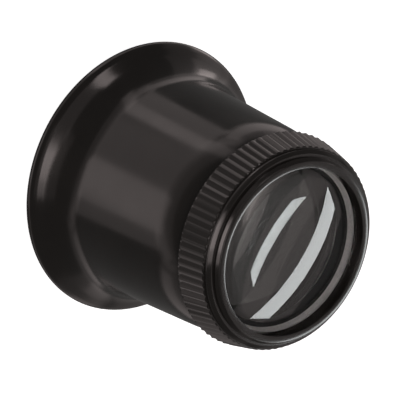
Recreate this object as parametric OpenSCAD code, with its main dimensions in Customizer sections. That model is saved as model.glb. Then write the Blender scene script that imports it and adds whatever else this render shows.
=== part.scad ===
// Eye loupe: a flared eye cup on a tapered barrel, with a lens stack that a
// knurled screw ring clamps at the front. Millimetres, standing on its eye rim,
// with the optical axis on Z and the lens side up.

/* [Eye rim and flare] */
// Largest diameter, across the rolled rim
rim_d = 39; // [37:0.5:42]
// Radius of the roll round the rim
rim_roll_r = 1; // [0.9:0.05:1.4]
// Radius of the crowned stretch between the roll and the fillet
rim_crown_r = 2.2; // [1.4:0.1:3]
// Tilt at which the roll passes into the crowned stretch
rim_crown_tilt = 30; // [24:1:36]
// Width of the flat that the rim stands on
rim_land_w = 0.5; // [0.4:0.1:1.4]
// Height at which the flare runs out into the barrel
flare_h = 7.7; // [7.4:0.1:9]
// Radius of the fillet between flare and barrel
flare_fillet_r = 7; // [4:0.1:7]

/* [Barrel] */
// Barrel diameter where the flare ends
barrel_base_d = 31.2; // [30.4:0.1:32]
// Barrel diameter where its rounded nose begins
barrel_front_d = 29.7; // [29.3:0.1:30]
// Height at which the rounded nose begins
nose_start_h = 22.8; // [21.8:0.1:24]
// Height of the shoulder behind the screw ring
shoulder_h = 28.3; // [27.8:0.1:28.6]
// Thickness of the cup's wall
cup_wall = 1.9; // [1.5:0.1:2.1]
// Draft of the cup's inside, a side
cup_draft = 1.5; // [0.5:0.25:2.5]
// Thickness of the web that carries the lenses
web_t = 1.8; // [1.2:0.1:2.6]
// Diameter of the opening in the web
web_bore_d = 21.2; // [18:0.2:21.6]

/* [Lenses] */
// Diameter of the rear lens
rear_lens_d = 23; // [22.6:0.1:23.2]
// Thickness of the rear lens in its middle
rear_lens_t = 7; // [5:0.1:7.4]
// Radius of the rear lens's domed front face
rear_lens_r = 30; // [26:1:60]
// Diameter of the front lens
front_lens_d = 24.6; // [24.3:0.1:24.8]
// Thickness of the front lens in its middle
front_lens_t = 4.8; // [4.4:0.1:5.4]
// Radius of the front lens's front face
front_lens_front_r = 42; // [36:1:80]
// Radius of the front lens's rear face
front_lens_rear_r = 100; // [80:5:200]
// Least air between the two lenses
lens_gap = 0.5; // [0.3:0.1:0.9]
// Width of the spacer between the lenses
spacer_w = 0.9; // [0.6:0.1:1.6]

/* [Screw ring] */
// Diameter of the knurl's crests at the rear
knurl_rear_d = 30.5; // [30.3:0.1:31.5]
// Diameter of the knurl's crests at the front
knurl_front_d = 28.7; // [28.6:0.1:29.2]
// Number of knurls
knurl_count = 80; // [60:1:90]
// Depth of the knurl at the rear
knurl_rear_depth = 0.26; // [0.16:0.02:0.4]
// Depth of the knurl at the front
knurl_front_depth = 0.2; // [0.1:0.02:0.22]
// Length of the knurled band
knurl_l = 4.45; // [4.2:0.05:5]
// Diameter of the bezel's lower step
bezel_low_d = 28; // [27.8:0.05:28]
// Diameter at which the lower step's sloped shoulder ends
bezel_low_flat_d = 27; // [26.8:0.1:27.2]
// Height of the bezel's lower step
bezel_low_h = 0.7; // [0.6:0.05:0.9]
// Diameter of the bezel's upper step
bezel_top_d = 26.2; // [26:0.1:26.4]
// Height at which the upper step's sloped shoulder ends, above the lower step
bezel_top_slope_h = 0.6; // [0.5:0.05:0.65]
// Diameter of the lip round the front
lip_d = 25.4; // [25.2:0.1:25.6]
// Height of the bezel's upper step, with the lip
bezel_top_h = 0.85; // [0.8:0.05:1]
// Slope of the two shoulders, from level
bezel_slope = 32; // [26:1:36]
// Radius of the lip's outer edge
lip_roll_r = 0.15; // [0.1:0.01:0.2]
// Bevel at the rear of the knurl
rear_bevel = 0.25; // [0.15:0.05:0.35]
// Diameter of the opening in front of the lens
aperture_d = 23.56; // [22.8:0.02:23.8]
// Depth of the front lens's vertex below the ring's top
lens_sink = 0.2; // [0.1:0.05:0.4]
// Diameter of the thread on the barrel's neck
thread_d = 26.2; // [26:0.05:26.4]
// Length of the thread on the barrel's neck
thread_l = 1.8; // [1.4:0.1:1.8]
// Room above the neck inside the ring
thread_relief = 0.9; // [0.5:0.1:1.1]

/* [Fits] */
// Side clearance of the thread, and of a lens or spacer in its seat
side_clear = 0.05; // [0.03:0.01:0.08]
// Air left at each face of the clamped lens stack
seat_clear = 0.03; // [0.02:0.01:0.06]
// Gap between the shoulder and the tightened ring
ring_gap = 0.3; // [0.2:0.05:0.5]
// Width of the small edge breaks
edge_break = 0.15; // [0.1:0.01:0.2]

/* [Hidden] */
$fn = 144;

// Length by which a cutter passes the face that it cuts
over = 1;

// Roll of the rim, centred above the land that it stands on
roll_x = rim_d / 2 - rim_roll_r;
roll_h = sqrt(pow(rim_roll_r, 2) - pow(rim_land_w / 2, 2));

// Barrel cone, and the tilt of its surface
base_r = barrel_base_d / 2;
front_r = barrel_front_d / 2;
taper = atan((base_r - front_r) / (nose_start_h - flare_h));

// Crown that the roll passes into, round a centre in the hollow
roll_mid = [roll_x, roll_h];
crown_normal = [cos(rim_crown_tilt), sin(rim_crown_tilt)];
crown_mid = roll_mid - (rim_crown_r - rim_roll_r) * crown_normal;

// Fillet between the barrel and the flare, kept small enough to reach the crown
flare_step = crown_mid[0] - base_r;
flare_rise = flare_h - crown_mid[1];
fillet_limit = (pow(flare_step, 2) + pow(flare_rise, 2) - pow(rim_crown_r, 2))
    / (2 * (rim_crown_r + flare_step * cos(taper) - flare_rise * sin(taper)));
fillet_r = min(flare_fillet_r, 0.99 * fillet_limit);
fillet_mid = [base_r + fillet_r * cos(taper), flare_h + fillet_r * sin(taper)];

// Short straight stretch of the flare, tangent to the fillet and to the crown
flare_span = fillet_mid - crown_mid;
flare_tilt = atan2(flare_span[1], flare_span[0])
    - acos(min(1, (fillet_r + rim_crown_r) / norm(flare_span)));
flare_normal = [cos(flare_tilt), sin(flare_tilt)];

// Rounded nose of the barrel: part of a ball that the barrel's cone is tangent to
nose_r = front_r / cos(taper);
nose_mid = [0, nose_start_h - front_r * tan(taper)];

// Heights of the screw ring's steps
ring_h = shoulder_h + ring_gap;
knurl_top_h = ring_h + knurl_l;
bezel_low_top = knurl_top_h + bezel_low_h;
ring_top = bezel_low_top + bezel_top_h;

// Heights of the lens stack, from the ring's lip down to the web
front_lens_top = ring_top - lens_sink;
front_lens_rear = front_lens_top - front_lens_t;
rear_lens_top = front_lens_rear - lens_gap;
rear_lens_h = rear_lens_top - rear_lens_t;
web_top = rear_lens_h - seat_clear;
web_under = web_top - web_t;

// Thread, bores and pockets
neck_top = shoulder_h + thread_l;
thread_bore_top = neck_top + thread_relief;
seat_r = rear_lens_d / 2 + side_clear;

// Inside of the cup, which follows the flare and the fillet one wall deeper
cup_fillet_r = fillet_r + cup_wall;
cup_foot = fillet_mid - cup_fillet_r * [cos(cup_draft), sin(cup_draft)];
cup_top_r = cup_foot[0] - (web_under - cup_foot[1]) * tan(cup_draft);

// Slice of the crown's disc, from where the roll ends to where the straight stretch starts
module crown_slice() {
    reach = 2 * rim_crown_r;
    intersection() {
        translate(crown_mid) circle(r = rim_crown_r);
        polygon([crown_mid, crown_mid + reach * crown_normal, crown_mid + reach * flare_normal]);
    }
}

// Outline of the cup, the barrel and its threaded neck
module barrel_outline() {
    crown_slice();
    intersection() {
        translate(roll_mid) circle(r = rim_roll_r);
        translate([0, 0]) square([rim_d, rim_d]);
    }
    difference() {
        polygon([
            [0, 0], [roll_x, 0], roll_mid, crown_mid + rim_crown_r * crown_normal,
            crown_mid + rim_crown_r * flare_normal,
            fillet_mid - fillet_r * flare_normal, fillet_mid, [base_r, flare_h],
            [front_r, nose_start_h], [0, nose_start_h]
        ]);
        translate(fillet_mid) circle(r = fillet_r);
    }
    intersection() {
        translate(nose_mid) circle(r = nose_r);
        translate([0, nose_start_h]) square([rim_d, shoulder_h - nose_start_h]);
    }
    polygon([
        [0, nose_start_h], [thread_d / 2, nose_start_h], [thread_d / 2, neck_top - edge_break],
        [thread_d / 2 - edge_break, neck_top], [0, neck_top]
    ]);
}

// Outline of the hollow under the web
module cup_outline() {
    difference() {
        polygon([
            [0, -over], [roll_x, -over], roll_mid, crown_mid + (rim_crown_r - cup_wall) * crown_normal,
            crown_mid + (rim_crown_r - cup_wall) * flare_normal,
            fillet_mid - cup_fillet_r * flare_normal, fillet_mid, cup_foot,
            [cup_top_r, web_under], [0, web_under]
        ]);
        translate(roll_mid) circle(r = rim_roll_r);
        translate([roll_x - rim_land_w / 2, -2 * over]) square([rim_roll_r + rim_land_w, 2 * over + roll_h]);
        translate(fillet_mid) circle(r = cup_fillet_r);
    }
}

module eyecup_body() {
    color([0.13, 0.12, 0.11])
    difference() {
        rotate_extrude() barrel_outline();
        rotate_extrude() cup_outline();
        translate([0, 0, web_under - over]) cylinder(h = web_t + 2 * over, d = web_bore_d);
        translate([0, 0, web_top]) cylinder(h = neck_top - web_top + over, r = seat_r);
    }
}

module rear_lens() {
    color([0.75, 0.80, 0.82, 0.4])
    intersection() {
        translate([0, 0, rear_lens_h]) cylinder(h = rear_lens_t + over, d = rear_lens_d);
        translate([0, 0, rear_lens_top - rear_lens_r]) sphere(r = rear_lens_r);
    }
}

// A tube between the two lenses, with each end cut to the lens that it bears on
module spacer_ring() {
    tube_h = rear_lens_h + rear_lens_t / 2;
    color([0.07, 0.07, 0.07])
    difference() {
        translate([0, 0, tube_h]) cylinder(h = front_lens_top - tube_h, d = rear_lens_d);
        translate([0, 0, tube_h - over])
            cylinder(h = front_lens_top - tube_h + 2 * over, d = rear_lens_d - 2 * spacer_w);
        translate([0, 0, rear_lens_top - rear_lens_r]) sphere(r = rear_lens_r + seat_clear);
        translate([0, 0, front_lens_rear + front_lens_rear_r]) sphere(r = front_lens_rear_r + seat_clear);
    }
}

module front_lens() {
    color([0.75, 0.80, 0.82, 0.4])
    intersection() {
        translate([0, 0, front_lens_rear]) cylinder(h = front_lens_t + over, d = front_lens_d);
        translate([0, 0, front_lens_top - front_lens_front_r]) sphere(r = front_lens_front_r);
        translate([0, 0, front_lens_rear + front_lens_rear_r]) sphere(r = front_lens_rear_r);
    }
}

// Half of a disc seen from the side, from height bottom to top, its upper edge rounded
module rounded_step(r, bottom, top, edge) {
    translate([0, bottom]) square([r - edge, top - bottom]);
    translate([0, bottom]) square([r, top - edge - bottom]);
    translate([r - edge, top - edge]) circle(r = edge);
}

// Outline of the ring: the knurled band, then the bezel's two steps with sloped shoulders
module ring_outline() {
    low_rise = (bezel_low_d - bezel_low_flat_d) / 2 * tan(bezel_slope);
    top_rise = (bezel_top_d - lip_d) / 2 * tan(bezel_slope);
    slope_top = bezel_low_top + bezel_top_slope_h;
    polygon([
        [0, ring_h], [knurl_rear_d / 2 - rear_bevel, ring_h], [knurl_rear_d / 2, ring_h + rear_bevel],
        [knurl_front_d / 2, knurl_top_h - edge_break], [knurl_front_d / 2 - edge_break, knurl_top_h],
        [bezel_low_d / 2, knurl_top_h], [bezel_low_d / 2, bezel_low_top - low_rise],
        [bezel_low_flat_d / 2, bezel_low_top], [bezel_top_d / 2, bezel_low_top],
        [bezel_top_d / 2, slope_top - top_rise], [lip_d / 2, slope_top], [0, slope_top]
    ]);
    rounded_step(lip_d / 2, ring_h, ring_top, lip_roll_r);
}

// One V groove of the knurl, its floor running up the band's taper
module knurl_groove() {
    rear_floor = knurl_rear_d / 2 - knurl_rear_depth;
    front_floor = knurl_front_d / 2 - knurl_front_depth;
    slope = PI * knurl_rear_d / knurl_count / 2 / knurl_rear_depth;
    lean = atan((rear_floor - front_floor) / knurl_l);
    mouth = 3 * knurl_rear_depth;
    translate([rear_floor, 0, ring_h])
    rotate([0, -lean, 0])
    translate([0, 0, -over])
        linear_extrude(height = knurl_l / cos(lean) + 2 * over)
            polygon([[0, 0], [mouth, slope * mouth], [mouth, -slope * mouth]]);
}

module screw_ring() {
    color([0.12, 0.11, 0.10])
    difference() {
        rotate_extrude() ring_outline();
        translate([0, 0, ring_h - over])
            cylinder(h = thread_bore_top - ring_h + over, d = thread_d + 2 * side_clear);
        intersection() {
            translate([0, 0, ring_h]) cylinder(h = ring_top - ring_h, d = front_lens_d + 2 * side_clear);
            translate([0, 0, front_lens_top - front_lens_front_r])
                sphere(r = front_lens_front_r + seat_clear);
        }
        translate([0, 0, ring_h]) cylinder(h = ring_top - ring_h + over, d = aperture_d);
        for (i = [0 : knurl_count - 1])
            rotate([0, 0, i * 360 / knurl_count]) knurl_groove();
    }
}

eyecup_body();
rear_lens();
spacer_ring();
front_lens();
screw_ring();
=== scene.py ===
"""Dress the eye loupe: moulded housing, knurled screw ring, threads and two glass lenses."""
import logging
import math
from dataclasses import dataclass, field
from enum import Enum

import bmesh
import bpy
from mathutils import Matrix, Vector


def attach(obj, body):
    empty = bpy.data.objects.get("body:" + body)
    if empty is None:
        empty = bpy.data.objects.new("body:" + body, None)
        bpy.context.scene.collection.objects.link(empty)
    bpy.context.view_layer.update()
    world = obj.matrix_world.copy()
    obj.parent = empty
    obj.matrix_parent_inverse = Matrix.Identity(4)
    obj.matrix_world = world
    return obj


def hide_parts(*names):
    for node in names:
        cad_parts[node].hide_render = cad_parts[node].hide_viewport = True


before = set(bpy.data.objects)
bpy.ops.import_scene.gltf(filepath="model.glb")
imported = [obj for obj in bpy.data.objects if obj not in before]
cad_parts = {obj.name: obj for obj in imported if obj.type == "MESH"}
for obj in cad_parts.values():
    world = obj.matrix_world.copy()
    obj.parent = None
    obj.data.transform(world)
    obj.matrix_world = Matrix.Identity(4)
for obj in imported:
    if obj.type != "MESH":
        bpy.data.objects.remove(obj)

logging.basicConfig(level=logging.INFO, format="%(message)s")
log = logging.getLogger("loupe")

# One millimetre in metres, because the pieces' sizes are in millimetres and the scene is in metres
MM = 0.001
# Points of a mesh that lie closer than this, in millimetres, are merged
DOUBLES = 0.0005
# Edges that turn by more degrees than this stay sharp, unless a piece has its own limit
SHARP_EDGE = 32.0
# A corner of an outline that opens wider than this, in degrees, needs no rounding
STRAIGHT = 179.0

Point = tuple[float, float]
Corner = tuple[float, float, float]
Colour = tuple[float, float, float]
Socket = bpy.types.NodeSocket


class Body(Enum):
    """The bodies that a piece can ride on."""

    HOUSING = "housing"
    LENS_CARRIER = "lens_carrier"
    RING = "ring"


class Slot(Enum):
    """The record's material slots."""

    BODY_PLASTIC = "body_plastic"
    RING_PLASTIC = "ring_plastic"
    SPACER_PLASTIC = "spacer_plastic"
    FRONT_GLASS = "front_glass"
    REAR_GLASS = "rear_glass"


# Outlines: radius and height in millimetres, turned about Z later


def on_circle(mid: Point, radius: float, angle: float) -> Point:
    """Return the point of a circle at an angle, in degrees from the radial direction."""
    turned = math.radians(angle)
    return (mid[0] + radius * math.cos(turned), mid[1] + radius * math.sin(turned))


def arc(mid: Point, radius: float, start: float, end: float, step: float = 4.0) -> list[Point]:
    """Lay points along an arc of an outline.

    Args:
        mid: Centre of the arc.
        radius: Radius of the arc.
        start: First angle, in degrees from the radial direction.
        end: Last angle.
        step: Largest turn between two points, in degrees.

    Returns:
        The points, with both ends.
    """
    count = max(1, math.ceil(abs(end - start) / step))
    return [on_circle(mid, radius, start + (end - start) * i / count) for i in range(count + 1)]


def rounded(corners: list[Corner], steps: int = 4) -> list[Point]:
    """Round the inner corners of an open outline.

    Args:
        corners: Radius, height and rounding of each corner. The two ends stay sharp.
        steps: Number of chords in each rounding.

    Returns:
        The points of the rounded outline.
    """
    points = [corners[0][:2]]
    for before, here, after in zip(corners, corners[1:], corners[2:]):
        corner = Vector(here[:2])
        rounding = here[2]
        back = (Vector(before[:2]) - corner).normalized()
        ahead = (Vector(after[:2]) - corner).normalized()
        opening = back.angle(ahead)
        if rounding <= 0 or opening > math.radians(STRAIGHT):
            points.append(here[:2])
            continue
        reach = rounding / math.tan(opening / 2)
        mid = corner + (back + ahead).normalized() * rounding / math.sin(opening / 2)
        first = (corner + back * reach - mid).normalized()
        last = (corner + ahead * reach - mid).normalized()
        for i in range(steps + 1):
            spoke = first.slerp(last, i / steps).normalized()
            points.append(tuple(mid + spoke * rounding))
    points.append(corners[-1][:2])
    return points


def face_height(vertex: float, curve: float, off_axis: float) -> float:
    """Return the height of a lens's face at a distance from its axis.

    Args:
        vertex: Height of the face on the axis.
        curve: Radius of the sphere, negative where it bulges downwards, infinite where it is flat.
        off_axis: Distance from the axis.

    Returns:
        The height.
    """
    if math.isinf(curve):
        return vertex
    sag = abs(curve) - math.sqrt(curve * curve - off_axis * off_axis)
    return vertex - math.copysign(sag, curve)


# Making meshes


def deselect() -> None:
    """Deselect every object, so that an operator acts on the new piece alone."""
    bpy.ops.object.select_all(action="DESELECT")


def draw_outline(name: str, outline: list[Point]) -> bpy.types.Object:
    """Extrude one vertex along an outline, in the plane of X and Z.

    Args:
        name: Name of the new object.
        outline: Points in millimetres, radius then height.

    Returns:
        The object, left in edit mode with all of it selected.
    """
    deselect()
    start = outline[0]
    bpy.ops.mesh.primitive_plane_add(size=MM, location=(start[0] * MM, 0, start[1] * MM))
    piece = bpy.context.object
    piece.name = name
    piece.data.name = name
    bpy.ops.object.mode_set(mode="EDIT")
    bpy.ops.mesh.merge(type="CENTER")
    for here, after in zip(outline, outline[1:]):
        move = ((after[0] - here[0]) * MM, 0, (after[1] - here[1]) * MM)
        bpy.ops.mesh.extrude_region_move(TRANSFORM_OT_translate={"value": move})
    bpy.ops.mesh.select_all(action="SELECT")
    return piece


def spin(steps: int, angle: float = math.tau, copies: bool = False) -> None:
    """Spin what is selected about Z.

    Args:
        steps: Number of steps.
        angle: The whole turn, in radians.
        copies: Leave copies at each step, and no surface between them.
    """
    bpy.ops.mesh.spin(steps=steps, angle=angle, center=(0, 0, 0), axis=(0, 0, 1), dupli=copies)


def merge_doubles() -> None:
    """Merge the doubles of the mesh in edit mode, and leave all of it selected."""
    bpy.ops.mesh.select_all(action="SELECT")
    bpy.ops.mesh.remove_doubles(threshold=DOUBLES * MM)


def close_mesh() -> None:
    """Merge the doubles of the mesh in edit mode and point its faces outwards."""
    merge_doubles()
    bpy.ops.mesh.normals_make_consistent(inside=False)


def select_points(
    piece: bpy.types.Object, mesh: bmesh.types.BMesh, chosen: set[bmesh.types.BMVert]
) -> None:
    """Select some points of a piece in edit mode, and no others.

    Args:
        piece: The piece in edit mode.
        mesh: Its mesh, which the caller holds as long as it uses the points.
        chosen: The points to select.
    """
    for vertex in mesh.verts:
        vertex.select = vertex in chosen
    mesh.select_flush(True)
    bmesh.update_edit_mesh(piece.data)


def settle(sharp_edge: float = SHARP_EDGE) -> None:
    """Leave edit mode, put the piece's place into its mesh and shade it smooth.

    Args:
        sharp_edge: Edges that turn by more degrees than this stay sharp.
    """
    bpy.ops.object.mode_set(mode="OBJECT")
    bpy.ops.object.transform_apply(location=True, rotation=True, scale=True)
    bpy.ops.object.shade_smooth_by_angle(angle=math.radians(sharp_edge))


def weigh_normals(piece: bpy.types.Object) -> None:
    """Keep the broad faces flat in the shading, so that only the roundings between them bend it.

    Args:
        piece: The settled piece.
    """
    deselect()
    piece.select_set(True)
    bpy.context.view_layer.objects.active = piece
    weights = piece.modifiers.new("Weights", "WEIGHTED_NORMAL")
    weights.keep_sharp = True
    bpy.ops.object.modifier_apply(modifier=weights.name)


def turn(
    name: str, outline: list[Point], steps: int, sharp_edge: float = SHARP_EDGE
) -> bpy.types.Object:
    """Turn an outline about Z, as on a lathe.

    Args:
        name: Name of the piece.
        outline: Points in millimetres. A closed outline ends on its first point.
        steps: Number of steps round the axis.
        sharp_edge: Edges that turn by more degrees than this stay sharp.

    Returns:
        The finished mesh object.
    """
    piece = draw_outline(name, outline)
    spin(steps)
    close_mesh()
    settle(sharp_edge)
    return piece


@dataclass
class Thread:
    """One ridge of a right-hand screw thread, wound inside or outside a round wall.

    The root is the wall's radius, and the ridge's middle climbs from the bottom to the top.
    Over the lead-in, in turns, each end fades into the wall. Sizes are in millimetres.
    """

    name: str
    root: float
    crest: float
    pitch: float
    bottom: float
    top: float
    lead_in: float = 0.12
    foot_share: float = 0.38
    crest_share: float = 0.06
    sink: float = 0.04
    foot_lift: float = 0.02
    steps_a_turn: int = 144
    sharp_edge: float = 28.0

    def turns(self) -> float:
        """Return the number of turns."""
        return (self.top - self.bottom) / self.pitch

    def sunk(self) -> float:
        """Return the radius of the ridge's base, inside the wall."""
        return self.root - math.copysign(self.sink, self.crest - self.root)

    def section(self) -> list[Point]:
        """Return the closed section of the ridge.

        Returns:
            The points, where the ridge begins.
        """
        foot = self.foot_share * self.pitch
        flat = self.crest_share * self.pitch
        return [
            (self.sunk(), self.bottom - foot),
            (self.root, self.bottom - foot + self.foot_lift),
            (self.crest, self.bottom - flat),
            (self.crest, self.bottom + flat),
            (self.root, self.bottom + foot - self.foot_lift),
            (self.sunk(), self.bottom + foot),
            (self.sunk(), self.bottom - foot),
        ]

    def wind(self) -> bpy.types.Object:
        """Wind the section round the wall.

        Returns:
            The finished mesh object.
        """
        piece = draw_outline(self.name, self.section())
        merge_doubles()
        bpy.ops.mesh.edge_face_add()
        bpy.ops.object.mode_set(mode="OBJECT")
        bpy.ops.object.transform_apply(location=True)
        screw = piece.modifiers.new("Winding", "SCREW")
        screw.axis = "Z"
        screw.angle = math.tau * self.turns()
        screw.screw_offset = (self.top - self.bottom) * MM
        screw.steps = round(self.steps_a_turn * self.turns())
        screw.render_steps = screw.steps
        screw.use_merge_vertices = False
        bpy.ops.object.modifier_apply(modifier=screw.name)
        self.fade_ends(piece)
        bpy.ops.object.mode_set(mode="EDIT")
        close_mesh()
        settle(self.sharp_edge)
        return piece

    def fade_ends(self, piece: bpy.types.Object) -> None:
        """Lower the wound ridge into its wall at both ends.

        Args:
            piece: The wound ridge.
        """
        base = self.sunk() * MM
        for vertex in piece.data.vertices:
            angle = math.atan2(vertex.co.y, vertex.co.x) / math.tau % 1.0
            lap = round((vertex.co.z - self.bottom * MM) / (self.pitch * MM) - angle)
            along = min(max(lap + angle, 0.0), self.turns())
            height = min(1.0, along / self.lead_in, (self.turns() - along) / self.lead_in)
            reach = math.hypot(vertex.co.x, vertex.co.y)
            wanted = base + (reach - base) * height
            vertex.co.x *= wanted / reach
            vertex.co.y *= wanted / reach


# Finishes


class NodeSheet:
    """The node tree of a material or a world, with short ways to add and join nodes."""

    def __init__(
        self, owner: bpy.types.Material | bpy.types.World, output: str = "ShaderNodeOutputMaterial"
    ) -> None:
        """Clear the owner's nodes, all but a new output.

        Args:
            owner: The material or world.
            output: Blender's name for its output node.
        """
        self.owner = owner
        self.owner.use_nodes = True
        self.tree = self.owner.node_tree
        self.tree.nodes.clear()
        self.output = self.add(output)

    def add(self, kind: str, **values: object) -> bpy.types.Node:
        """Add a node and set its properties or, by socket name, its inputs.

        Args:
            kind: Blender's name for the node.
            **values: Properties, or inputs with spaces written as underscores.

        Returns:
            The new node.
        """
        node = self.tree.nodes.new(kind)
        for key, value in values.items():
            label = key.replace("_", " ")
            if label in node.inputs:
                node.inputs[label].default_value = value
            else:
                setattr(node, key, value)
        return node

    def join(self, source: Socket, target: Socket) -> None:
        """Join an output to an input."""
        self.tree.links.new(source, target)

    def place(self) -> Socket:
        """Return the object coordinates."""
        return self.add("ShaderNodeTexCoord").outputs["Object"]

    def stretched_place(self, rotation: tuple[float, ...], scale: tuple[float, ...]) -> Socket:
        """Return the object coordinates, turned and stretched.

        Args:
            rotation: Turn about each axis, in radians.
            scale: Stretch along each axis.

        Returns:
            The coordinates.
        """
        mapping = self.add("ShaderNodeMapping", Rotation=rotation, Scale=scale)
        self.join(self.place(), mapping.inputs["Vector"])
        return mapping.outputs["Vector"]

    def noise(
        self, per_metre: float, detail: float = 2.0, roughness: float = 0.5, place: Socket | None = None
    ) -> Socket:
        """Add a noise pattern.

        Args:
            per_metre: Patches per metre.
            detail: Octaves of finer noise.
            roughness: Share of the finer noise.
            place: Where it is read, by default on the object coordinates.

        Returns:
            The pattern's value.
        """
        node = self.add("ShaderNodeTexNoise", Scale=per_metre, Detail=detail, Roughness=roughness)
        self.join(self.place() if place is None else place, node.inputs["Vector"])
        return node.outputs["Fac"]

    def remap(
        self, value: Socket, low: float, high: float, start: float = 0.3, end: float = 0.7
    ) -> Socket:
        """Map a stretch of a noise pattern to a range.

        Args:
            value: The pattern.
            low: Result where the stretch starts.
            high: Result where it ends.
            start: Value at which the stretch starts. Noise lies mostly between the defaults.
            end: Value at which it ends.

        Returns:
            The mapped value.
        """
        node = self.add("ShaderNodeMapRange", From_Min=start, From_Max=end, To_Min=low, To_Max=high)
        self.join(value, node.inputs["Value"])
        return node.outputs["Result"]

    def blend_colours(self, share: Socket, first: Colour, second: Colour) -> Socket:
        """Mix two colours by a pattern.

        Args:
            share: How much of the second colour.
            first: First colour.
            second: Second colour.

        Returns:
            The mixed colour.
        """
        node = self.add("ShaderNodeMix", data_type="RGBA")
        node.inputs[6].default_value = (*first, 1)
        node.inputs[7].default_value = (*second, 1)
        self.join(share, node.inputs[0])
        return node.outputs[2]

    def bump(
        self, height: Socket, depth: float, normal: Socket | None = None, sunk: bool = False
    ) -> Socket:
        """Raise or sink a surface by a pattern.

        Args:
            height: The pattern.
            depth: Its depth in millimetres.
            normal: The normal to which the bump is added.
            sunk: Sink the pattern in.

        Returns:
            The new normal.
        """
        node = self.add("ShaderNodeBump", Strength=1.0, Distance=depth * MM, invert=sunk)
        self.join(height, node.inputs["Height"])
        if normal is not None:
            self.join(normal, node.inputs["Normal"])
        return node.outputs["Normal"]

    def finish(self, shader: bpy.types.Node) -> bpy.types.Material | bpy.types.World:
        """Join the shader to the output and return the material or world."""
        self.join(shader.outputs[0], self.output.inputs["Surface"])
        return self.owner


@dataclass(frozen=True)
class MouldedPlastic:
    """Moulded plastic with a faint flow of tone and gloss, a fine skin and, on request, scratches.

    Depths are in millimetres.
    """

    name: str
    colour: Colour
    worn_colour: Colour
    smooth: float
    rough: float
    skin_depth: float
    skin_per_metre: float
    scratch_depth: float = 0.0
    index: float = 1.49
    tone_per_metre: float = 160.0
    gloss_per_metre: float = 90.0
    scratches_per_metre: float = 420.0
    scratch_turn: tuple[float, float, float] = (0.4, 0.9, 0.3)
    scratch_stretch: tuple[float, float, float] = (1.0, 14.0, 1.0)
    scratch_start: float = 0.62
    scratch_end: float = 0.72

    def material(self) -> bpy.types.Material:
        """Build the material.

        Returns:
            The material.
        """
        sheet = NodeSheet(bpy.data.materials.new(self.name))
        shader = sheet.add("ShaderNodeBsdfPrincipled", IOR=self.index)
        tone = sheet.remap(sheet.noise(self.tone_per_metre, detail=3), 0.0, 1.0)
        sheet.join(sheet.blend_colours(tone, self.colour, self.worn_colour), shader.inputs["Base Color"])
        flow = sheet.noise(self.gloss_per_metre, detail=4, roughness=0.6)
        sheet.join(sheet.remap(flow, self.smooth, self.rough), shader.inputs["Roughness"])
        normal = sheet.bump(sheet.noise(self.skin_per_metre), self.skin_depth)
        if self.scratch_depth > 0:
            normal = self.scratches(sheet, normal)
        sheet.join(normal, shader.inputs["Normal"])
        return sheet.finish(shader)

    def scratches(self, sheet: NodeSheet, normal: Socket) -> Socket:
        """Add fine stretched marks to the surface.

        Args:
            sheet: The material's nodes.
            normal: The normal so far.

        Returns:
            The normal with the marks.
        """
        place = sheet.stretched_place(self.scratch_turn, self.scratch_stretch)
        streaks = sheet.noise(self.scratches_per_metre, detail=3, roughness=0.6, place=place)
        marks = sheet.remap(streaks, 0.0, 1.0, self.scratch_start, self.scratch_end)
        return sheet.bump(marks, self.scratch_depth, normal, sunk=True)


@dataclass(frozen=True)
class LensGlass:
    """Clear polished glass with a trace of wiping haze."""

    name: str
    tint: Colour
    haze: float
    index: float = 1.52
    haze_per_metre: float = 240.0

    def material(self) -> bpy.types.Material:
        """Build the material.

        Returns:
            The material.
        """
        sheet = NodeSheet(bpy.data.materials.new(self.name))
        shader = sheet.add(
            "ShaderNodeBsdfPrincipled", IOR=self.index, Base_Color=(*self.tint, 1), Transmission_Weight=1.0
        )
        haze = sheet.remap(sheet.noise(self.haze_per_metre, detail=3), 0.0, self.haze)
        sheet.join(haze, shader.inputs["Roughness"])
        return sheet.finish(shader)


@dataclass(frozen=True)
class GroundGlass:
    """The ground, unpolished rim of a lens. The grit's depth is in millimetres."""

    name: str
    colour: Colour
    roughness: float
    index: float = 1.52
    shade: float = 0.8
    shades_per_metre: float = 2600.0
    grit_depth: float = 0.01
    grit_per_metre: float = 9000.0

    def material(self) -> bpy.types.Material:
        """Build the material.

        Returns:
            The material.
        """
        sheet = NodeSheet(bpy.data.materials.new(self.name))
        shader = sheet.add("ShaderNodeBsdfPrincipled", IOR=self.index, Roughness=self.roughness)
        tone = sheet.remap(sheet.noise(self.shades_per_metre), 0.0, 1.0)
        darker = tuple(self.shade * part for part in self.colour)
        sheet.join(sheet.blend_colours(tone, self.colour, darker), shader.inputs["Base Color"])
        grit = sheet.bump(sheet.noise(self.grit_per_metre), self.grit_depth)
        sheet.join(grit, shader.inputs["Normal"])
        return sheet.finish(shader)


HOUSING_PLASTIC = MouldedPlastic(
    name="black moulded plastic",
    colour=(0.011, 0.0095, 0.0085),
    worn_colour=(0.015, 0.0135, 0.012),
    smooth=0.12,
    rough=0.2,
    skin_depth=0.0004,
    skin_per_metre=5200,
    scratch_depth=0.0004,
)
RING_PLASTIC = MouldedPlastic(
    name="black ring plastic",
    colour=(0.011, 0.0098, 0.0086),
    worn_colour=(0.016, 0.0145, 0.013),
    smooth=0.1,
    rough=0.15,
    skin_depth=0.0005,
    skin_per_metre=6400,
)
SPACER_PLASTIC = MouldedPlastic(
    name="matt black",
    colour=(0.008, 0.008, 0.008),
    worn_colour=(0.012, 0.012, 0.012),
    smooth=0.45,
    rough=0.6,
    skin_depth=0.001,
    skin_per_metre=7000,
)
LENS_GLASS = LensGlass(name="lens glass", tint=(0.97, 0.985, 0.98), haze=0.004)
LENS_RIM = GroundGlass(name="ground glass edge", colour=(0.95, 0.95, 0.94), roughness=0.6)


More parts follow.
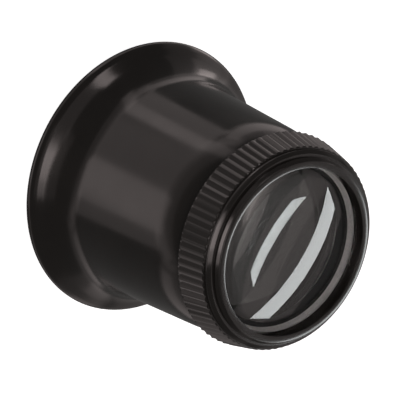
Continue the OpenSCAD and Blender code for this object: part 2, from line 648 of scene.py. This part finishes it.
def dress(piece: bpy.types.Object, *materials: bpy.types.Material) -> None:
    """Give a piece its materials. Each face wears the one of its number, and the first has 0."""
    for material in materials:
        piece.data.materials.append(material)


def hand_over(piece: bpy.types.Object, body: Body, slot: Slot, *nodes: str) -> None:
    """Let a piece ride on its body and stand for its solids.

    Args:
        piece: The finished piece.
        body: The body that it moves with.
        slot: The record's slot for its finish. Not used.
        *nodes: The solids that it stands for.
    """
    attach(piece, body.value)
    if nodes:
        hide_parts(*nodes)
    log.info("%s: %d faces on %s", piece.name, len(piece.data.polygons), body.value)


# The loupe


@dataclass
class LensStack:
    """The two lenses and the spacer between them, from the ring's lip down.

    Sizes are in millimetres, and a curve is the radius of a lens's face. A lens's face is ground
    and not polished where its direction has less than ground_limit along the axis.
    """

    top: float = 34.4
    front_r: float = 11.98
    front_t: float = 4.8
    front_curve: float = 42.0
    back_curve: float = 100.0
    gap: float = 0.5
    rear_r: float = 11.5
    rear_t: float = 7.0
    rear_curve: float = 30.0
    bevel: float = 0.15
    ground_bevel: float = 0.8
    ground_limit: float = 0.85
    spacer_w: float = 0.9
    spacer_edge: float = 0.12
    seat: float = 0.03
    lens_rings: int = 48
    lens_steps: int = 256
    lens_sharp_edge: float = 20.0
    spacer_steps: int = 192
    front_bottom: float = field(init=False)
    rear_top: float = field(init=False)
    rear_bottom: float = field(init=False)

    def __post_init__(self) -> None:
        """Work out the heights of the stack."""
        self.front_bottom = self.top - self.front_t
        self.rear_top = self.front_bottom - self.gap
        self.rear_bottom = self.rear_top - self.rear_t

    def face(self, vertex: float, curve: float, reach: float) -> list[Point]:
        """Lay points along a lens's face, from its middle outwards.

        Args:
            vertex: Height of the face in the middle.
            curve: Radius of the face, negative where it bulges downwards.
            reach: Distance from the axis at which the face ends.

        Returns:
            The points.
        """
        spots = [reach * i / self.lens_rings for i in range(self.lens_rings + 1)]
        return [(spot, face_height(vertex, curve, spot)) for spot in spots]

    def lens(self, name: str, upper: list[Point], lower: list[Point], edge_r: float) -> bpy.types.Object:
        """Turn a lens with bevelled edges, and mark what of it is ground.

        Args:
            name: Name of the piece.
            upper: Upper face, from the middle out.
            lower: Lower face, from the middle out.
            edge_r: Radius of the lens.

        Returns:
            The lens.
        """
        upper_bevel = edge_r - upper[-1][0]
        lower_bevel = edge_r - lower[-1][0]
        rim = [(edge_r, upper[-1][1] - upper_bevel), (edge_r, lower[-1][1] + lower_bevel)]
        outline = [*upper, *rim, *reversed(lower)]
        piece = turn(name, outline, self.lens_steps, self.lens_sharp_edge)
        for polygon in piece.data.polygons:
            if abs(polygon.normal.z) < self.ground_limit:
                polygon.material_index = 1
        return piece

    def build(
        self, glass: bpy.types.Material, ground: bpy.types.Material, black: bpy.types.Material
    ) -> None:
        """Model and dress the stack.

        Args:
            glass: The polished faces.
            ground: The ground rims.
            black: The spacer.
        """
        front = self.lens(
            "front_lens_glass",
            self.face(self.top, self.front_curve, self.front_r - self.bevel),
            self.face(self.front_bottom, -self.back_curve, self.front_r - self.ground_bevel),
            self.front_r,
        )
        dress(front, glass, ground)
        hand_over(front, Body.LENS_CARRIER, Slot.FRONT_GLASS, "front_lens")
        rear = self.lens(
            "rear_lens_glass",
            self.face(self.rear_top, self.rear_curve, self.rear_r - self.bevel),
            self.face(self.rear_bottom, math.inf, self.rear_r - self.bevel),
            self.rear_r,
        )
        dress(rear, glass, ground)
        hand_over(rear, Body.HOUSING, Slot.REAR_GLASS, "rear_lens")
        self.build_spacer(black)

    def build_spacer(self, black: bpy.types.Material) -> None:
        """Model the spacer, whose ends follow the lenses that it lies between.

        Args:
            black: Its finish.
        """
        outer = self.rear_r
        inner = self.rear_r - self.spacer_w
        low = self.rear_top + self.seat
        high = self.front_bottom - self.seat
        low_out = face_height(low, self.rear_curve, outer)
        low_in = face_height(low, self.rear_curve, inner)
        high_out = face_height(high, -self.back_curve, outer)
        high_in = face_height(high, -self.back_curve, inner)
        middle = (low_in + high_in) / 2
        outline = rounded([
            (outer, middle, 0),
            (outer, high_out, self.spacer_edge),
            (inner, high_in, self.spacer_edge),
            (inner, middle, 0),
            (inner, low_in, self.spacer_edge),
            (outer, low_out, self.spacer_edge),
            (outer, middle, 0),
        ])
        spacer = turn("lens_spacer", outline, self.spacer_steps)
        dress(spacer, black)
        hand_over(spacer, Body.HOUSING, Slot.SPACER_PLASTIC, "spacer_ring")


@dataclass
class EyeCup:
    """The moulded housing: rolled rim, flare, tapered barrel, rounded nose and threaded neck.

    Sizes are in millimetres and angles in degrees.
    """

    rim_r: float = 19.5
    roll_r: float = 1.0
    land_w: float = 0.5
    crown_r: float = 2.2
    crown_tilt: float = 30.0
    flare_h: float = 7.7
    fillet_r: float = 7.0
    base_r: float = 15.6
    front_r: float = 14.85
    nose_h: float = 22.8
    shoulder_h: float = 28.3
    wall: float = 1.9
    draft: float = 1.5
    web_t: float = 1.8
    web_r: float = 10.6
    web_edge: float = 0.15
    web_under_edge: float = 0.3
    cup_corner: float = 0.6
    seat_r: float = 11.55
    seat_corner: float = 0.08
    bore_margin: float = 1.0
    neck_core_r: float = 12.76
    neck_crest_r: float = 13.08
    neck_l: float = 1.8
    neck_edge: float = 0.25
    edge: float = 0.12
    pitch: float = 0.75
    thread_start: float = 0.45
    thread_end: float = 0.42
    flare_step: float = 3.0
    nose_step: float = 1.5
    steps: int = 288

    def outside(self) -> list[Point]:
        """Return the outside from the rest plane over the neck's top into the lens bore.

        Returns:
            The points.
        """
        taper = self.taper()
        tilt = self.flare_tilt()
        nose = (0.0, self.nose_h - self.front_r * math.tan(math.radians(taper)))
        nose_r = self.front_r / math.cos(math.radians(taper))
        nose_end = math.degrees(math.asin((self.shoulder_h - nose[1]) / nose_r))
        edge_turn = math.degrees(2 * self.edge / nose_r)
        shoulder_x = nose_r * math.cos(math.radians(nose_end))
        neck_top = self.neck_top()
        return [
            *arc(self.roll_mid(), self.roll_r, self.land_turn() - 90, self.crown_tilt),
            *arc(self.crown_mid(), self.crown_r, self.crown_tilt, tilt, self.flare_step)[1:],
            *arc(self.fillet_mid(), self.fillet_r, 180 + tilt, 180 + taper, self.flare_step),
            *arc(nose, nose_r, taper, nose_end - edge_turn, self.nose_step),
            *rounded([
                (*on_circle(nose, nose_r, nose_end - edge_turn), 0),
                (shoulder_x, self.shoulder_h, self.edge),
                (self.neck_core_r, self.shoulder_h, self.edge),
                (self.neck_core_r, neck_top, self.neck_edge),
                (self.seat_r, neck_top, self.edge),
                (self.seat_r, neck_top - self.bore_margin, 0),
            ])[1:],
        ]

    def neck_top(self) -> float:
        """Return the height of the neck's end."""
        return self.shoulder_h + self.neck_l

    def land_turn(self) -> float:
        """Return the turn from the roll's lowest point to the edge of its land, in degrees."""
        return math.degrees(math.asin(self.land_w / 2 / self.roll_r))

    def taper(self) -> float:
        """Return the barrel's taper on a side, in degrees."""
        return math.degrees(math.atan((self.base_r - self.front_r) / (self.nose_h - self.flare_h)))

    def fillet_mid(self) -> Point:
        """Return the centre of the fillet between flare and barrel."""
        taper = math.radians(self.taper())
        return (self.base_r + self.fillet_r * math.cos(taper), self.flare_h + self.fillet_r * math.sin(taper))

    def roll_mid(self) -> Point:
        """Return the centre of the roll round the rim."""
        return (self.rim_r - self.roll_r, math.sqrt(self.roll_r**2 - (self.land_w / 2) ** 2))

    def crown_mid(self) -> Point:
        """Return the centre of the crowned stretch that the roll passes into."""
        return on_circle(self.roll_mid(), self.crown_r - self.roll_r, 180 + self.crown_tilt)

    def flare_tilt(self) -> float:
        """Return the direction that the flare's straight stretch faces.

        Returns:
            The angle above the radial direction, in degrees.
        """
        mid = self.fillet_mid()
        across = mid[0] - self.crown_mid()[0]
        up = mid[1] - self.crown_mid()[1]
        swing = math.acos((self.fillet_r + self.crown_r) / math.hypot(across, up))
        return math.degrees(math.atan2(up, across) - swing)

    def inside(self, web_top: float) -> list[Point]:
        """Return the inside from the lens bore down to the rest plane.

        Args:
            web_top: Height of the face that the rear lens sits on.

        Returns:
            The points.
        """
        fillet = self.fillet_mid()
        tilt = self.flare_tilt()
        deep_r = self.fillet_r + self.wall
        under = web_top - self.web_t
        foot = on_circle(fillet, deep_r, 180 + self.draft)
        top_x = foot[0] - (under - foot[1]) * math.tan(math.radians(self.draft))
        lean = math.radians(tilt - self.crown_tilt)
        sunk = self.wall - self.crown_r + (self.crown_r - self.roll_r) * math.cos(lean)
        meet = 180 + tilt - math.degrees(math.acos(sunk / self.roll_r))
        return [
            *rounded([
                (self.seat_r, web_top + self.bore_margin, 0),
                (self.seat_r, web_top, self.seat_corner),
                (self.web_r, web_top, self.web_edge),
                (self.web_r, under, self.web_under_edge),
                (top_x, under, self.cup_corner),
                (*foot, 0),
            ]),
            *arc(fillet, deep_r, 180 + self.draft, 180 + tilt, self.flare_step),
            *arc(self.roll_mid(), self.roll_r, meet, 270 - self.land_turn()),
        ]

    def build(self, stack: LensStack, plastic: bpy.types.Material) -> None:
        """Model and dress the housing and the thread on its neck.

        Args:
            stack: The lenses that it holds.
            plastic: Its finish.
        """
        outside = self.outside()
        outline = [*outside, *self.inside(stack.rear_bottom - stack.seat), outside[0]]
        shell = turn("eyecup_housing", outline, self.steps)
        weigh_normals(shell)
        dress(shell, plastic)
        hand_over(shell, Body.HOUSING, Slot.BODY_PLASTIC, "eyecup_body")
        ridge = Thread(
            "neck_thread", self.neck_core_r, self.neck_crest_r, self.pitch,
            bottom=self.shoulder_h + self.thread_start, top=self.neck_top() - self.thread_end,
        ).wind()
        dress(ridge, plastic)
        hand_over(ridge, Body.HOUSING, Slot.BODY_PLASTIC)


@dataclass
class ScrewRing:
    """The knurled ring with its stepped bezel, its lip and its internal thread.

    Sizes are in millimetres. The bezel goes up from the knurl in a low and a top shoulder, each
    with a slope of the given degrees, to the lip round the aperture.
    """

    rear_h: float = 28.6
    rear_r: float = 15.25
    front_r: float = 14.35
    rear_bevel: float = 0.25
    edge: float = 0.15
    knurls: int = 80
    knurl_l: float = 4.45
    rear_depth: float = 0.26
    front_depth: float = 0.2
    columns: int = 8
    band_margin: float = 0.02
    height_margin: float = 0.001
    least_cut: float = 0.0005
    low_r: float = 14.0
    low_flat_r: float = 13.5
    low_l: float = 0.7
    top_r: float = 13.1
    top_slope_l: float = 0.6
    top_l: float = 0.85
    slope: float = 32.0
    lip_r: float = 12.7
    aperture_r: float = 11.78
    aperture_edge: float = 0.05
    pocket_r: float = 12.35
    pocket_corner: float = 0.08
    bore_r: float = 13.15
    bore_top: float = 31.0
    bore_corner: float = 0.1
    bore_chamfer: float = 0.3
    seam_r: float = 14.0
    crisp: float = 0.03
    fine: float = 0.04
    soft: float = 0.06
    thread_crest_r: float = 12.84
    pitch: float = 0.75
    thread_start: float = 0.525
    thread_end: float = 0.375
    sharp_edge: float = 28.0

    def outline(self, stack: LensStack) -> list[Point]:
        """Return the ring's closed outline, starting on its rear face.

        Args:
            stack: The lens that the lip holds.

        Returns:
            The points.
        """
        low_step = self.rear_h + self.knurl_l
        top_step = low_step + self.low_l
        top = top_step + self.top_l
        under = face_height(stack.top + stack.seat, stack.front_curve, self.aperture_r)
        pocket_top = face_height(stack.top + stack.seat, stack.front_curve, self.pocket_r)
        climb = math.tan(math.radians(self.slope))
        low_foot = top_step - (self.low_r - self.low_flat_r) * climb
        slope_top = top_step + self.top_slope_l
        top_foot = slope_top - (self.top_r - self.lip_r) * climb
        return rounded([
            (self.seam_r, self.rear_h, 0),
            (self.rear_r - self.rear_bevel, self.rear_h, self.fine),
            (self.rear_r, self.rear_h + self.rear_bevel, self.soft),
            (self.front_r, low_step - self.edge, self.soft),
            (self.front_r - self.edge, low_step, self.soft),
            (self.low_r, low_step, self.fine),
            (self.low_r, low_foot, self.crisp),
            (self.low_flat_r, top_step, 0),
            (self.top_r, top_step, self.crisp),
            (self.top_r, top_foot, self.crisp),
            (self.lip_r, slope_top, self.crisp),
            (self.lip_r, top, self.crisp),
            (self.aperture_r, top, self.aperture_edge),
            (self.aperture_r, under, self.fine),
            (self.pocket_r, pocket_top, self.fine),
            (self.pocket_r, self.bore_top, self.pocket_corner),
            (self.bore_r, self.bore_top, self.bore_corner),
            (self.bore_r, self.rear_h + self.bore_chamfer, self.soft),
            (self.bore_r + self.bore_chamfer, self.rear_h, self.soft),
            (self.seam_r, self.rear_h, 0),
        ])

    def groove_depth(self, radius: float, height: float, off_centre: float) -> float:
        """Return how deep the knurl's groove is at a point of the band.

        Args:
            radius: Radius of the point before it is cut.
            height: Height of the point.
            off_centre: Angle from the groove's middle, in radians.

        Returns:
            The depth below the point.
        """
        share = (height - self.rear_h) / self.knurl_l
        rear_floor = self.rear_r - self.rear_depth
        front_floor = self.front_r - self.front_depth
        slope = math.pi * self.rear_r / self.knurls / self.rear_depth
        floor = rear_floor + (front_floor - rear_floor) * share
        flank = floor + abs(math.sin(off_centre)) * radius / slope
        return max(0.0, radius - flank)

    def groove_scale(self, spot: Vector) -> float:
        """Return how far the groove draws a point of the wedge towards the axis.

        Args:
            spot: The point, in metres.

        Returns:
            The factor on its distance from the axis, in whole millionths, or 1 where it stays.
        """
        radius = math.hypot(spot.x, spot.y) / MM
        height = spot.z / MM
        band_r = self.front_r - self.edge - self.band_margin
        if radius < band_r or height > self.rear_h + self.knurl_l + self.height_margin:
            return 1.0
        off_centre = abs(math.atan2(spot.y, spot.x)) - math.pi / self.knurls
        depth = self.groove_depth(radius, height, off_centre)
        if depth <= self.least_cut:
            return 1.0
        return round(1 - depth / radius, 6)

    def cut_groove(self, piece: bpy.types.Object) -> None:
        """Press one groove into the wedge of the ring that is in edit mode.

        Args:
            piece: The wedge.
        """
        mesh = bmesh.from_edit_mesh(piece.data)
        place = piece.matrix_world.copy()
        scales = {vertex: self.groove_scale(place @ vertex.co) for vertex in mesh.verts}
        for scale in sorted(set(scales.values()) - {1.0}):
            select_points(piece, mesh, {vertex for vertex, own in scales.items() if own == scale})
            bpy.ops.transform.resize(value=(scale, scale, 1), center_override=(0, 0, 0))

    def build(self, stack: LensStack, plastic: bpy.types.Material) -> None:
        """Model and dress the ring and its thread.

        Args:
            stack: The lens that it holds.
            plastic: Its finish.
        """
        ring = draw_outline("knurled_screw_ring", self.outline(stack))
        spin(self.columns, math.tau / self.knurls)
        merge_doubles()
        self.cut_groove(ring)
        bpy.ops.mesh.select_all(action="SELECT")
        spin(self.knurls, copies=True)
        close_mesh()
        settle(self.sharp_edge)
        weigh_normals(ring)
        dress(ring, plastic)
        hand_over(ring, Body.RING, Slot.RING_PLASTIC, "screw_ring")
        ridge = Thread(
            "ring_thread", self.bore_r, self.thread_crest_r, self.pitch,
            bottom=self.rear_h + self.thread_start, top=self.bore_top - self.thread_end,
        ).wind()
        dress(ridge, plastic)
        hand_over(ridge, Body.RING, Slot.RING_PLASTIC)


# The studio


@dataclass(frozen=True)
class Softbox:
    """A soft light, placed by the direction in which the loupe sees it.

    Angles are in degrees and the distance is in metres. Bearing 0 is the camera's side and grows
    anticlockwise seen from above. The roll turns the light clockwise as the loupe sees it, and
    the spread widens its upper edge. A light with a spread is a glowing card, the others are
    lamps. All of them face a point on the axis, aim millimetres up.
    """

    name: str
    bearing: float
    elevation: float
    width: float
    height: float
    radiance: float
    tint: Colour = (1.0, 0.87, 0.85)
    roll: float = 0.0
    spread: float = 0.0
    distance: float = 0.7
    aim: float = 17.0

    def side(self, angle: float) -> float:
        """Return the length of a side, in metres, from the angle that it fills."""
        return 2 * self.distance * math.tan(math.radians(angle / 2))

    def add(self) -> None:
        """Add the light and turn it to the loupe."""
        width = self.side(self.width)
        height = self.side(self.height)
        bearing = math.radians(self.bearing)
        rise = math.radians(self.elevation)
        level = math.cos(rise)
        way = Vector((level * math.sin(bearing), -level * math.cos(bearing), math.sin(rise)))
        holder = self.card(width, height) if self.spread else self.lamp(width, height)
        holder.location = Vector((0, 0, self.aim * MM)) + way * self.distance
        facing = way.to_track_quat("Z", "Y").to_matrix() @ Matrix.Rotation(math.radians(self.roll), 3, "Z")
        holder.rotation_euler = facing.to_euler()

    def lamp(self, width: float, height: float) -> bpy.types.Object:
        """Make an oblong lamp.

        Args:
            width: Width in metres.
            height: Height in metres.

        Returns:
            The lamp, lying at the origin.
        """
        lamp = bpy.data.lights.new(self.name, "AREA")
        lamp.shape = "RECTANGLE"
        lamp.size = width
        lamp.size_y = height
        lamp.color = self.tint
        lamp.energy = self.radiance * math.pi * width * height
        holder = bpy.data.objects.new(self.name, lamp)
        bpy.context.scene.collection.objects.link(holder)
        return holder

    def card(self, width: float, height: float) -> bpy.types.Object:
        """Make a glowing card whose upper edge is wider than its lower one.

        Args:
            width: Mean width in metres.
            height: Height in metres.

        Returns:
            The card, lying at the origin.
        """
        deselect()
        bpy.ops.mesh.primitive_plane_add(size=1)
        card = bpy.context.object
        card.name = self.name
        bpy.ops.object.mode_set(mode="EDIT")
        bpy.ops.transform.resize(value=(width, height, 1))
        mesh = bmesh.from_edit_mesh(card.data)
        for side in (1, -1):
            select_points(card, mesh, {vertex for vertex in mesh.verts if vertex.co.y * side > 0})
            bpy.ops.transform.resize(value=(1 + side * self.spread, 1, 1))
        bpy.ops.object.mode_set(mode="OBJECT")
        sheet = NodeSheet(bpy.data.materials.new(self.name))
        glow = sheet.add("ShaderNodeEmission", Strength=self.radiance, Color=(*self.tint, 1))
        dress(card, sheet.finish(glow))
        card.visible_camera = False
        return card


@dataclass
class Studio:
    """The camera, the floor, the soft lights and the background.

    The camera's place, its lens and the drops below the rest plane are in millimetres, its angles
    in degrees, and the floor's size and the nearest distance seen are in metres.
    """

    camera_place: tuple[float, float, float] = (-0.69, -375.35, 411.45)
    camera_elevation: float = 46.666
    camera_roll: float = 116.302
    lens: float = 360.0
    sensor: float = 36.0
    nearest: float = 0.02
    floor_size: float = 6.0
    floor_drop: float = 0.02
    floor_white: float = 0.8
    floor_glow: float = 0.93
    disc_r: float = 18.6
    disc_drop: float = 0.01
    disc_steps: int = 96
    # Grey of the disc under the eye cup: painted shade for the floor that the cup keeps from the light
    painted_shade_grey: float = 0.2
    room_colour: Colour = (1.0, 0.97, 0.95)
    room_strength: float = 0.12
    backdrop_strength: float = 1.0

    def place_camera(self) -> None:
        """Put the camera where the photograph was taken from, turned as it was."""
        rise = math.radians(self.camera_elevation)
        ahead = Vector((0, math.cos(rise), -math.sin(rise)))
        level = Vector((1, 0, 0))
        above = level.cross(ahead)
        roll = math.radians(self.camera_roll)
        right = math.cos(roll) * level + math.sin(roll) * above
        up = right.cross(ahead)
        turned = Matrix((right, up, -ahead)).transposed().to_4x4()
        data = bpy.data.cameras.new("camera")
        data.lens = self.lens
        data.sensor_width = self.sensor
        data.clip_start = self.nearest
        camera = bpy.data.objects.new("camera", data)
        bpy.context.scene.collection.objects.link(camera)
        camera.matrix_world = Matrix.Translation(Vector(self.camera_place) * MM) @ turned
        bpy.context.scene.camera = camera

    def lay_floor(self) -> None:
        """Lay the white floor, which only the camera sees, and a disc under the eye cup whose dark grey is
        painted shade.
        """
        deselect()
        bpy.ops.mesh.primitive_plane_add(size=self.floor_size, location=(0, 0, -self.floor_drop * MM))
        floor = bpy.context.object
        floor.name = "floor"
        sheet = NodeSheet(bpy.data.materials.new("white floor"))
        white = (self.floor_white, self.floor_white, self.floor_white, 1)
        matt = sheet.add("ShaderNodeBsdfDiffuse", Color=white)
        glow = sheet.add("ShaderNodeEmission", Strength=self.floor_glow)
        both = sheet.add("ShaderNodeAddShader")
        sheet.join(matt.outputs[0], both.inputs[0])
        sheet.join(glow.outputs[0], both.inputs[1])
        dress(floor, sheet.finish(both))
        floor.visible_diffuse = False
        floor.visible_glossy = False
        floor.visible_transmission = False
        floor.visible_shadow = False
        deselect()
        bpy.ops.mesh.primitive_circle_add(
            vertices=self.disc_steps, radius=self.disc_r * MM, fill_type="NGON",
            location=(0, 0, -self.disc_drop * MM)
        )
        disc = bpy.context.object
        disc.name = "floor_under_cup"
        # The disc's dark grey is painted shade, standing in for the floor in the cup's own shade
        sheet = NodeSheet(bpy.data.materials.new("painted shade floor"))
        painted_shade_colour = (self.painted_shade_grey, self.painted_shade_grey, self.painted_shade_grey, 1)
        dress(disc, sheet.finish(sheet.add("ShaderNodeBsdfDiffuse", Color=painted_shade_colour)))

    def fill_world(self) -> None:
        """Make the world pale to the camera and a dim room to everything else."""
        sheet = NodeSheet(bpy.data.worlds.new("studio"), "ShaderNodeOutputWorld")
        room_colour = (*self.room_colour, 1)
        room = sheet.add("ShaderNodeBackground", Color=room_colour, Strength=self.room_strength)
        backdrop = sheet.add("ShaderNodeBackground", Strength=self.backdrop_strength)
        path = sheet.add("ShaderNodeLightPath")
        mix = sheet.add("ShaderNodeMixShader")
        sheet.join(path.outputs["Is Camera Ray"], mix.inputs[0])
        sheet.join(room.outputs[0], mix.inputs[1])
        sheet.join(backdrop.outputs[0], mix.inputs[2])
        bpy.context.scene.world = sheet.finish(mix)

    def light(self) -> None:
        """Hang the soft lights."""
        # Name, bearing, elevation, width, height and radiance
        boxes = [
            Softbox("strip", 177.9, 37.4, 37.3, 7.2, 8.0, tint=(0.97, 1.0, 1.0), roll=-5.3, spread=0.134),
            Softbox("key_top", 32, 58, 32, 26, 2.0),
            Softbox("key_top_core", 27, 57, 19, 20, 2.0),
            Softbox("key_mid", 22, 36, 48, 26, 0.18),
            Softbox("key_mid_core", 16, 38, 24, 20, 0.15),
            Softbox("key_low", 31, -43, 44, 20, 0.35),
            Softbox("key_core", 24, -42, 30, 26, 0.35),
            Softbox("low_front", -10, -46, 124, 16, 0.2),
            Softbox("low_step", -8, -42, 124, 20, 0.15),
            Softbox("front_haze", 0, -36, 128, 32, 0.2),
            Softbox("left_low", -69, -44, 26, 16, 0.5),
            Softbox("left_bar", -57, -27, 12, 34, 0.6),
            Softbox("left_spot", -60, 40, 11, 17, 3.2),
            Softbox("left_fill", -24, 50, 40, 22, 0.25),
            Softbox("left_back", -104, -33, 52, 10, 0.5, roll=6),
            Softbox("left_back_soft", -100, -30, 64, 20, 0.25, roll=6),
            Softbox("right_back", 103, -31, 50, 10, 0.3, roll=-6),
            Softbox("right_back_soft", 98, -27, 66, 20, 0.2, roll=-6),
            Softbox("left_glow", -132, -17, 12, 14, 1.3),
            Softbox("left_halo", -134, -8, 24, 34, 0.35),
            Softbox("left_halo_soft", -122, -4, 36, 50, 0.15),
            Softbox("right_glow", 132, -9, 16, 28, 0.4),
            Softbox("right_halo", 124, 0, 26, 40, 0.15),
            Softbox("back_wall", 180, 40, 70, 26, 0.32, distance=1.4),
            Softbox("back_low", 180, -10, 70, 34, 0.16, distance=1.2),
        ]
        for box in boxes:
            box.add()
        log.info("studio: %d soft lights", len(boxes))

    def build(self) -> None:
        """Set up the whole studio."""
        bpy.context.scene.view_settings.view_transform = "Standard"
        self.place_camera()
        self.lay_floor()
        self.fill_world()
        self.light()


def main() -> None:
    """Build the loupe and its studio, piece by piece."""
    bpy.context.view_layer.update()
    Studio().build()
    housing_plastic = HOUSING_PLASTIC.material()
    ring_plastic = RING_PLASTIC.material()
    spacer_plastic = SPACER_PLASTIC.material()
    stack = LensStack()
    stack.build(LENS_GLASS.material(), LENS_RIM.material(), spacer_plastic)
    EyeCup().build(stack, housing_plastic)
    ScrewRing().build(stack, ring_plastic)


if __name__ == "__main__":
    main()
